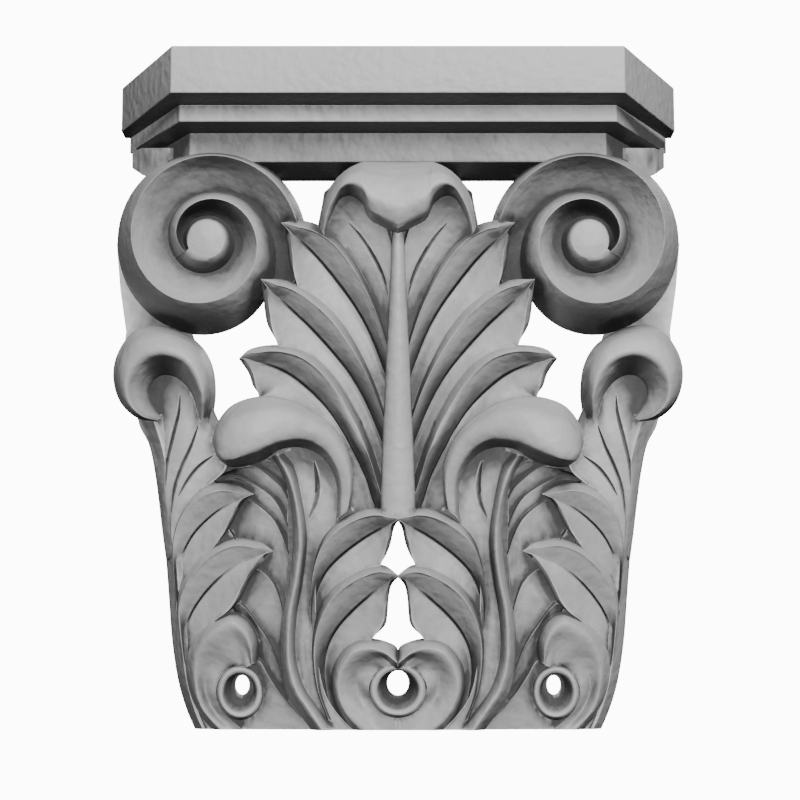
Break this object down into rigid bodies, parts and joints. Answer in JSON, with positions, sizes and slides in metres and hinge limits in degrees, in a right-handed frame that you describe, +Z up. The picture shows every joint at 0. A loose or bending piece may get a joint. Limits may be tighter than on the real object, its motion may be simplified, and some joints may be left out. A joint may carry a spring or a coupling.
{
  "type": "carved corbel",
  "caption": "Carved stone corbel in the form of a leafy pilaster capital, with corner volutes, pierced acanthus leaves and a canted abacus; built into a wall, it carries a load on its flat top",
  "frame": {"origin": "on the flat back, on the centre line, at half height", "axes": "+X along the wall, +Y into the wall, +Z up"},
  "size_m": [0.2984, 0.084, 0.3348],
  "materials": {
    "stone": "honed, fine grained"
  },
  "bodies": {
    "root": {"carved_corbel": "stone"}
  },
  "joints": []
}
